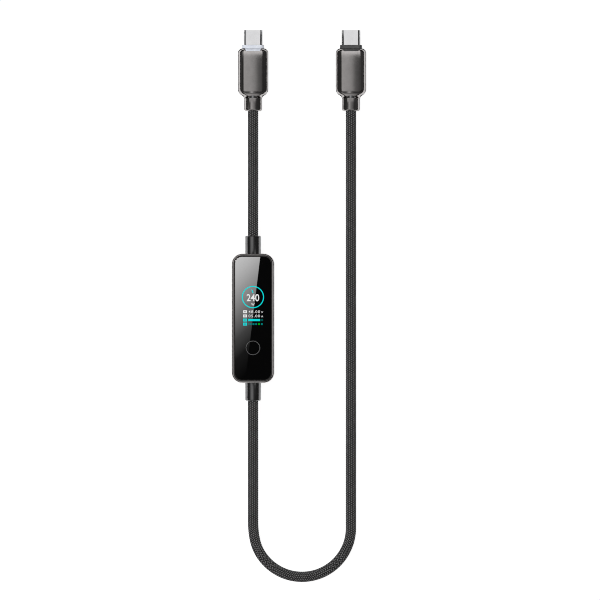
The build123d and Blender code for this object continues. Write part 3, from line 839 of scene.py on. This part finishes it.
def make_world():
    """White to the eye, soft on matt surfaces, and in reflections a soft box overhead on the left,
    dark at the sides and towards +Y, with a dark band across it on the -Y side."""
    world = bpy.data.worlds.new("studio_world")
    bpy.context.scene.world = world
    world.use_nodes = True
    tree = world.node_tree
    tree.nodes.clear()
    out = tree.nodes.new("ShaderNodeOutputWorld")
    path = tree.nodes.new("ShaderNodeLightPath")
    place = tree.nodes.new("ShaderNodeTexCoord")
    parts = tree.nodes.new("ShaderNodeSeparateXYZ")
    tree.links.new(place.outputs["Generated"], parts.inputs["Vector"])

    def by_tilt(sideways, stops):
        """Light by how far the direction tilts from straight up, in degrees towards one side."""
        angle = tree.nodes.new("ShaderNodeMath")
        angle.operation = "ARCTAN2"
        tree.links.new(parts.outputs[sideways], angle.inputs[0])
        tree.links.new(parts.outputs["Z"], angle.inputs[1])
        turned = [(math.radians(degrees), strength) for degrees, strength in stops]
        return grey_ramp(tree, angle.outputs["Value"], turned, 1.0)

    across = by_tilt("X", [
        (-90, 0.04), (-52, 0.05), (-20, 0.48), (-3, 0.44), (12, 0.11), (30, 0.05), (90, 0.04),
    ])
    along = by_tilt("Y", [
        (-90, 0.1), (-76, 1.0), (-37, 1.0), (-31, 0.1), (-20, 0.1), (-10, 1.0), (18, 1.0),
        (45, 0.15), (90, 0.1),
    ])
    both = tree.nodes.new("ShaderNodeVectorMath")
    both.operation = "MULTIPLY"
    tree.links.new(across, both.inputs[0])
    tree.links.new(along, both.inputs[1])
    glossy = tree.nodes.new("ShaderNodeBackground")
    matt = tree.nodes.new("ShaderNodeBackground")
    matt.inputs["Color"].default_value = (1.0, 1.0, 1.0, 1.0)
    matt.inputs["Strength"].default_value = 0.35
    seen = tree.nodes.new("ShaderNodeBackground")
    seen.inputs["Color"].default_value = (1.0, 1.0, 1.0, 1.0)
    seen.inputs["Strength"].default_value = 1.0
    by_gloss = tree.nodes.new("ShaderNodeMixShader")
    by_eye = tree.nodes.new("ShaderNodeMixShader")
    links = tree.links
    links.new(both.outputs["Vector"], glossy.inputs["Color"])
    links.new(path.outputs["Is Glossy Ray"], by_gloss.inputs["Fac"])
    links.new(matt.outputs["Background"], by_gloss.inputs[1])
    links.new(glossy.outputs["Background"], by_gloss.inputs[2])
    links.new(path.outputs["Is Camera Ray"], by_eye.inputs["Fac"])
    links.new(by_gloss.outputs["Shader"], by_eye.inputs[1])
    links.new(seen.outputs["Background"], by_eye.inputs[2])
    links.new(by_eye.outputs["Shader"], out.inputs["Surface"])


def make_floor():
    """A white table. What the eye sees has light of its own, so that shadows on it stay faint."""
    half = 4.0
    corners = [(-half, -half, 0), (half, -half, 0), (half, half, 0), (-half, half, 0)]
    mesh = bpy.data.meshes.new("floor")
    mesh.from_pydata(corners, [], [(0, 1, 2, 3)])
    floor = bpy.data.objects.new("floor", mesh)
    bpy.context.scene.collection.objects.link(floor)
    material = bpy.data.materials.new("studio_floor")
    material.use_nodes = True
    tree = material.node_tree
    tree.nodes.clear()
    out = tree.nodes.new("ShaderNodeOutputMaterial")
    path = tree.nodes.new("ShaderNodeLightPath")
    matt = tree.nodes.new("ShaderNodeBsdfDiffuse")
    matt.inputs["Color"].default_value = (0.85, 0.85, 0.85, 1.0)
    dim = tree.nodes.new("ShaderNodeBsdfDiffuse")
    dim.inputs["Color"].default_value = (0.22, 0.22, 0.22, 1.0)
    glow = tree.nodes.new("ShaderNodeEmission")
    glow.inputs["Strength"].default_value = 0.90
    seen = tree.nodes.new("ShaderNodeAddShader")
    by_eye = tree.nodes.new("ShaderNodeMixShader")
    links = tree.links
    links.new(dim.outputs["BSDF"], seen.inputs[0])
    links.new(glow.outputs["Emission"], seen.inputs[1])
    links.new(path.outputs["Is Camera Ray"], by_eye.inputs["Fac"])
    links.new(matt.outputs["BSDF"], by_eye.inputs[1])
    links.new(seen.outputs["Shader"], by_eye.inputs[2])
    links.new(by_eye.outputs["Shader"], out.inputs["Surface"])
    mesh.materials.append(material)


def soft_light(name, place, target, size, power):
    data = bpy.data.lights.new(name, "AREA")
    data.shape = "SQUARE"
    data.size = size
    data.energy = power
    lamp = bpy.data.objects.new(name, data)
    lamp.location = place
    lamp.rotation_mode = "QUATERNION"
    lamp.rotation_quaternion = (Vector(target) - Vector(place)).to_track_quat("-Z", "Y")
    lamp.visible_glossy = False
    bpy.context.scene.collection.objects.link(lamp)


middle = (22 * MM, 5 * MM, 0.0)
make_world()
make_floor()
soft_light("key_light", (-0.45, 0.15, 0.8), middle, 0.5, 5.0)
soft_light("top_light", (0.1, 0.0, 1.0), middle, 0.8, 3.0)
bpy.context.scene.view_settings.view_transform = "Standard"
# A narrow pixel filter and the denoiser's fast prefilter keep the braid's fine strands.
bpy.context.scene.cycles.filter_width = 1.0
bpy.context.scene.cycles.denoising_prefilter = "FAST"
